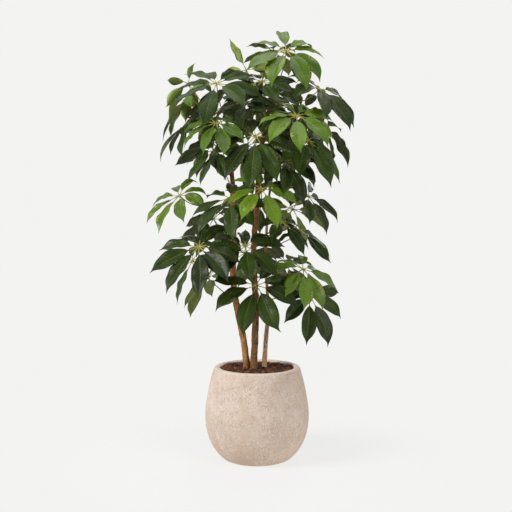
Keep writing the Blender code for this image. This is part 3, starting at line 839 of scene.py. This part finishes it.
def stem_rings(mesh):
    """(centre, radius) of each ring of a packed stem solid, from its foot up."""
    work = bmesh.new()
    work.from_mesh(mesh)
    bmesh.ops.remove_doubles(work, verts=work.verts, dist=0.00001)
    work.verts.index_update()
    lowest = min(v.co.z for v in work.verts)
    layers = layers_from({v for v in work.verts if v.co.z < lowest + 0.0001}, set(), 40)
    rings = []
    for layer in layers:
        if len(layer) > 3:
            centre = middle([v.co for v in layer])
            rings.append((centre, sum((v.co - centre).length for v in layer) / len(layer)))
    work.free()
    return rings


def grow_stem(name, node, material, bud, number):
    """A barked stem: lumpy, ringed with old leaf scars, and rounded off in a green growing tip."""
    rings = stem_rings(node.data)
    centres = [c for c, _ in rings]
    knots = distances_along(centres)
    total = knots[-1]
    count = int(total / BARK_STEP)
    dice = random.Random(70 + number)
    scars = []
    height = SCAR_START
    while height < total:
        scars.append((height, dice.uniform(*SCAR_SIZES), dice.uniform(0, 6.28)))
        height += dice.uniform(*SCAR_GAPS)
    shell = Shell()
    last, side = None, Vector((1.0, 0.0, 0.0))
    for k in range(count + 1):
        s = total * k / count
        centre = curve_at(centres, knots, s)
        ahead = direction_at(centres, knots, s, STEM_STEP)
        side = (side - ahead * side.dot(ahead)).normalized()
        up = ahead.cross(side)
        i = min(range(len(knots)), key=lambda j: abs(knots[j] - s))
        j = min(i + 1, len(knots) - 1) if s > knots[i] else max(i - 1, 0)
        share = abs(s - knots[i]) / max(abs(knots[j] - knots[i]), 1e-6)
        radius = rings[i][1] * (1 - share) + rings[j][1] * share
        end = min((total - s) / TIP_ROUNDING, 1.0)
        radius *= math.sqrt(max(1 - (1 - end) ** 2, 0.0)) * 0.98 + 0.02
        ring = []
        for n in range(BARK_SIDES):
            angle = 2 * math.pi * n / BARK_SIDES
            out = side * math.cos(angle) + up * math.sin(angle)
            place = centre + out * radius
            lump = noise.noise(place * 38.0) * 0.12 + noise.noise(place * 120.0) * 0.06
            scar = 0.0
            for at, size, turn in scars:
                gap = (s - at - SCAR_SLANT * math.sin(angle + turn)) / SCAR_WIDTH
                if abs(gap) < 3:
                    scar += size * math.exp(-gap * gap) * (0.55 + 0.45 * math.cos(angle - turn))
            reach = radius * (0.97 + lump) + scar * min(radius / 0.010, 1.0) * 0.8
            ring.append(shell.add(centre + out * reach, (n / BARK_SIDES, s), (s / total, 0.5, 0.8)))
        slot = BUD_SLOT if total - s < GREEN_TIP else BARK_SLOT
        if last is None:
            shell.face(ring[::-1], slot)
        else:
            for n in range(BARK_SIDES):
                m = (n + 1) % BARK_SIDES
                shell.face((last[n], last[m], ring[m], ring[n]), slot)
        last = ring
    shell.face(last, BUD_SLOT)
    return piece(name + "_bark", shell.mesh(name + "_bark", [material, bud]), name)


# Planter and soil

def pot_radius(share, belly):
    """Outer radius of the planter at a share of its height."""
    if share < BELLY_SHARE:
        depth = (BELLY_SHARE - share) / BELLY_SHARE
        return belly * (1 - (1 - FOOT_SHARE ** BELLY_POWER) * depth ** BELLY_POWER) ** (1 / BELLY_POWER)
    return belly * (1 - RIM_TAPER * ((share - BELLY_SHARE) / (1 - BELLY_SHARE)) ** RIM_POWER)


def arc(centre, radius, start, end, steps):
    """(radius, height) points round part of a circle, angles in degrees from straight out."""
    points = []
    for i in range(steps + 1):
        angle = math.radians(start + (end - start) * i / steps)
        points.append((centre[0] + radius * math.cos(angle), centre[1] + radius * math.sin(angle)))
    return points


def turn_about_z(name, profile, sides, wobble=0.0):
    """A closed mesh turned from (radius, height) points that start and end on the axis."""
    verts, faces, rows = [], [], []
    for k, (radius, z) in enumerate(profile):
        if k in (0, len(profile) - 1):
            verts.append((0.0, 0.0, z))
            rows.append([len(verts) - 1])
            continue
        row = []
        for i in range(sides):
            angle = 2 * math.pi * i / sides
            spot = Vector((math.cos(angle) * radius, math.sin(angle) * radius, z))
            grow = 1 + wobble * noise.noise(spot * 14.0)
            verts.append((spot.x * grow, spot.y * grow, z))
            row.append(len(verts) - 1)
        rows.append(row)
    for a, b in zip(rows, rows[1:]):
        for i in range(sides):
            j = (i + 1) % sides
            if len(a) == 1:
                faces.append((a[0], b[j], b[i]))
            elif len(b) == 1:
                faces.append((a[i], a[j], b[0]))
            else:
                faces.append((a[i], a[j], b[j], b[i]))
    mesh = bpy.data.meshes.new(name)
    mesh.from_pydata(verts, [], faces)
    mesh.shade_smooth()
    face_outwards(mesh)
    return mesh


def face_outwards(mesh):
    work = bmesh.new()
    work.from_mesh(mesh)
    bmesh.ops.recalc_face_normals(work, faces=work.faces)
    work.to_mesh(mesh)
    work.free()


def make_pot(material):
    """The planter: foot, egg-shaped outside, thick rounded lip and the inner wall down to its floor."""
    low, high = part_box("pot")
    height = high[2] - low[2]
    belly = (high[0] - low[0]) / 2
    outside = []
    start, end = OUTSIDE_RANGE
    for i in range(OUTSIDE_STEPS + 1):
        share = start + (end - start) * i / OUTSIDE_STEPS
        outside.append((pot_radius(share, belly), share * height))
    rim = pot_radius(1.0, belly)
    round_out = arc((rim - 0.0060, height - LIP_OUTER), LIP_OUTER, 12, 90, 8)
    round_in = arc((rim - WALL + 0.0046, height - LIP_INNER), LIP_INNER, 90, 175, 6)
    inside = []
    start, end = INSIDE_RANGE
    for i in range(INSIDE_STEPS + 1):
        share = start - (start - end) * i / INSIDE_STEPS
        inside.append((pot_radius(share, belly) - WALL, share * height))
    foot = pot_radius(0.0, belly)
    profile = [(0.0, 0.0), (foot * 0.55, 0.0), (foot - 0.0045, 0.0), (foot - 0.0012, 0.0014)]
    profile += outside + round_out + round_in + inside
    profile += [(inside[-1][0] - 0.012, POT_FLOOR), (0.06, POT_FLOOR), (0.0, POT_FLOOR)]
    mesh = turn_about_z("planter", profile, POT_SIDES, POT_WOBBLE)
    mesh.materials.append(material)
    return piece("planter", mesh, "pot")


def crumb(shell, place, size, stretch, turn, tone, dice):
    """An angular flake of bark."""
    corners = []
    for x, y, z in BOX_CORNERS:
        point = Vector((x * stretch[0], y * stretch[1], z * stretch[2])) * size * 0.5
        point *= dice.uniform(0.65, 1.1)
        corners.append(shell.add(place + turn @ point, (0.5, 0.5), tone))
    for face in BOX_FACES:
        shell.face(tuple(corners[i] for i in face), CRUMB_SLOT)


def soil_height(x, y, top, radius):
    """The uneven top of the soil."""
    share = min(math.hypot(x, y) / radius, 1.0)
    broad = noise.noise(Vector((x, y, 0.3)) * 34.0) * 0.0035
    fine = noise.noise(Vector((x, y, 1.7)) * 95.0) * 0.0018
    return top + 0.0008 - 0.0015 * share * share + (broad + fine)


def grow_bed(shell, top, radius, belly, height):
    """The body of the filling: its uneven top, then rings down inside the planter's wall."""
    rings = [[shell.add(Vector((0, 0, soil_height(0, 0, top, radius))), (0.5, 0.5), BED_TONE)]]

    def add_ring(r, height_of):
        ring = []
        for i in range(SOIL_SIDES):
            angle = 2 * math.pi * i / SOIL_SIDES
            x, y = r * math.cos(angle), r * math.sin(angle)
            ring.append(shell.add(Vector((x, y, height_of(x, y))), (0.5, 0.5), BED_TONE))
        rings.append(ring)

    for k in range(1, SOIL_ROWS + 1):
        add_ring(radius * k / SOIL_ROWS, lambda x, y: soil_height(x, y, top, radius))
    for share in SOIL_SHARES:
        inner = min(pot_radius(share, belly) - WALL - SOIL_GAP, radius * 1.14)
        add_ring(inner, lambda x, y: share * height)
    rings.append([shell.add(Vector((0, 0, SOIL_SHARES[-1] * height)), (0.5, 0.5), BED_TONE)])
    for a, b in zip(rings, rings[1:]):
        for i in range(SOIL_SIDES):
            j = (i + 1) % SOIL_SIDES
            if len(a) == 1:
                shell.face((a[0], b[i], b[j]), BED_SLOT)
            elif len(b) == 1:
                shell.face((a[j], a[i], b[0]), BED_SLOT)
            else:
                shell.face((a[j], a[i], b[i], b[j]), BED_SLOT)


def make_soil(base_material, crumb_material):
    """The filling: a rough mound under loose flakes of bark and strands of coir."""
    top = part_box("potting_soil")[1][2]
    pot_low, pot_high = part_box("pot")
    belly, height = (pot_high[0] - pot_low[0]) / 2, pot_high[2]
    radius = pot_radius((top - 0.009) / height, belly) - WALL - SOIL_GAP
    shell = Shell()
    grow_bed(shell, top, radius, belly, height)
    dice = random.Random(21)
    stems = [ring_at(frame["nodes"][name], top) for name in STEM_NODES]
    placed = 0
    while placed < CRUMBS:
        r = radius * math.sqrt(dice.random())
        angle = dice.uniform(0, 2 * math.pi)
        size = dice.uniform(0.006, 0.015) * (1.0 if dice.random() < 0.85 else 1.35)
        x, y = r * math.cos(angle), r * math.sin(angle)
        if r + size * 0.7 > radius:
            continue
        if any(math.hypot(x - c.x, y - c.y) < thick + size * 0.55 for c, thick in stems):
            continue
        z = soil_height(x, y, top, radius) + dice.uniform(-0.1, 0.28) * size
        turn = Quaternion(UP, dice.uniform(0, 6.28)) @ Quaternion((1, 0, 0), dice.gauss(0, 0.5))
        stretch = (1.0, dice.uniform(0.45, 0.8), dice.uniform(0.22, 0.5))
        crumb(shell, Vector((x, y, z)), size, stretch, turn, (dice.random(), 0.5, 0.0), dice)
        placed += 1
    for _ in range(FIBRES):
        r = radius * 0.92 * math.sqrt(dice.random())
        angle, heading = dice.uniform(0, 6.28), dice.uniform(0, 6.28)
        line = []
        for i in range(FIBRE_POINTS):
            x = r * math.cos(angle) + (i - 2) * FIBRE_STEP * math.cos(heading + 0.25 * i)
            y = r * math.sin(angle) + (i - 2) * FIBRE_STEP * math.sin(heading + 0.25 * i)
            line.append(Vector((x, y, soil_height(x, y, top, radius) + 0.0032)))
        radii, tones = [FIBRE_RADIUS] * FIBRE_POINTS, [FIBRE_TONE] * FIBRE_POINTS
        tube(shell, line, radii, 5, CRUMB_SLOT, tones)
    mesh = shell.mesh("bark_and_coir", [crumb_material, base_material])
    mesh.shade_flat()
    face_outwards(mesh)
    return piece("bark_and_coir", mesh, "potting_soil")


def ring_at(node, z):
    """(centre, radius) of a stem solid near a height."""
    return min(stem_rings(node.data), key=lambda ring: abs(ring[0].z - z))


# Studio

def make_floor():
    """A pale floor that melts into the plain background away from the planter."""
    mesh = bpy.data.meshes.new("floor")
    mesh.from_pydata([(-3, -3, 0), (3, -3, 0), (3, 3, 0), (-3, 3, 0)], [], [(0, 1, 2, 3)])
    obj = bpy.data.objects.new("floor", mesh)
    bpy.context.scene.collection.objects.link(obj)
    material, t, shader = new_material("floor")
    shader.inputs["Base Color"].default_value = FLOOR_COLOUR
    shader.inputs["Roughness"].default_value = 0.9
    shader.inputs["Specular IOR Level"].default_value = 0.1
    shader.inputs["Emission Color"].default_value = BACKGROUND
    shader.inputs["Emission Strength"].default_value = FLOOR_GLOW
    place = t.node("ShaderNodeTexCoord").outputs["Object"]
    reach = t.node("ShaderNodeVectorMath", operation="LENGTH")
    t.link(place, reach.inputs[0])
    shown = t.range(reach.outputs["Value"], *FLOOR_FADE, 1.0, 0.0, smooth=True)
    t.link(shown, shader.inputs["Alpha"])
    mesh.materials.append(material)


def make_world():
    """Soft light from all round, and the plain background for the camera and reflections."""
    world = bpy.data.worlds.new("studio")
    bpy.context.scene.world = world
    world.use_nodes = True
    t = Tree(world.node_tree)
    light = world.node_tree.nodes["Background"]
    light.inputs["Color"].default_value = WORLD_COLOUR
    light.inputs["Strength"].default_value = WORLD_LIGHT
    seen = t.node("ShaderNodeBackground")
    seen.inputs["Color"].default_value = BACKGROUND
    seen.inputs["Strength"].default_value = 1.0
    path = t.node("ShaderNodeLightPath").outputs
    seen_or_mirrored = t.math("MAXIMUM", path["Is Camera Ray"], path["Is Glossy Ray"])
    mix = t.node("ShaderNodeMixShader")
    t.link(t.math("MAXIMUM", seen_or_mirrored, path["Is Transmission Ray"]), mix.inputs[0])
    t.link(light.outputs[0], mix.inputs[1])
    t.link(seen.outputs[0], mix.inputs[2])
    t.link(mix.outputs[0], world.node_tree.nodes["World Output"].inputs["Surface"])


def softbox(name, place, aim, size, watts):
    data = bpy.data.lights.new(name, "AREA")
    data.shape = "RECTANGLE"
    data.size, data.size_y = size
    data.energy = watts
    obj = bpy.data.objects.new(name, data)
    bpy.context.scene.collection.objects.link(obj)
    obj.location = place
    obj.rotation_euler = (Vector(aim) - Vector(place)).to_track_quat("-Z", "Y").to_euler()


def make_camera():
    data = bpy.data.cameras.new("camera")
    data.sensor_fit = "HORIZONTAL"
    data.angle = 2 * math.atan(HALF_VIEW)
    obj = bpy.data.objects.new("camera", data)
    bpy.context.scene.collection.objects.link(obj)
    obj.location = CAMERA_PLACE
    obj.rotation_euler = (math.pi / 2 - math.atan(CAMERA_FALL), 0.0, 0.0)
    bpy.context.scene.camera = obj


def remove_startup_objects():
    kept = set(frame["nodes"].values()) | set(frame["bodies"].values())
    for obj in list(bpy.data.objects):
        if obj not in kept:
            bpy.data.objects.remove(obj)


def main():
    remove_startup_objects()
    groups = {"veins": leaf_veins_group(), "mottle": mottle_group()}
    stalk = leaf_stalk_material(groups)
    foliage = {
        "mature_leaf": [
            leaf_top_material("mature_leaf_top", linear(23, 36, 7), linear(52, 75, 16), linear(108, 114, 38),
                              0.23, 0.13, groups),
            leaf_under_material("mature_leaf_under", linear(66, 78, 40), linear(92, 104, 58),
                                linear(144, 146, 84), groups),
            stalk,
        ],
        "young_leaf": [
            leaf_top_material("young_leaf_top", linear(56, 86, 4), linear(95, 125, 14), linear(140, 152, 46),
                              0.19, 0.25, groups),
            leaf_under_material("young_leaf_under", linear(118, 136, 60), linear(146, 162, 84),
                                linear(170, 178, 104), groups),
            stalk,
        ],
    }
    slots = {part["node"]: part["material_slot"] for part in frame["record"]["subparts"]}
    leaves = sorted(name for name in frame["nodes"] if name.startswith("leaf_"))
    for number, name in enumerate(leaves):
        grow_leaf(name, frame["nodes"][name], foliage[slots[name]], number)
    barks = {
        "stem_left":
            (linear(204, 144, 80), linear(226, 174, 112), linear(120, 76, 38), linear(186, 118, 60)),
        "stem_middle":
            (linear(136, 96, 56), linear(170, 126, 78), linear(70, 47, 27), linear(182, 116, 58)),
        "stem_right":
            (linear(236, 190, 138), linear(248, 218, 176), linear(150, 106, 68), linear(184, 122, 68)),
    }
    for number, name in enumerate(STEM_NODES):
        bark = bark_material(name + "_bark", *barks[name], groups)
        grow_stem(name, frame["nodes"][name], bark, stalk, number)
    make_pot(pot_material(groups))
    make_soil(soil_material("soil_bed", linear(22, 12, 7), linear(44, 26, 15), groups),
              soil_material("soil_crumbs", linear(44, 20, 8), linear(170, 94, 42), groups))
    make_floor()
    make_world()
    for lamp in LAMPS:
        softbox(*lamp)
    make_camera()
    bpy.context.scene.view_settings.view_transform = "Standard"


main()
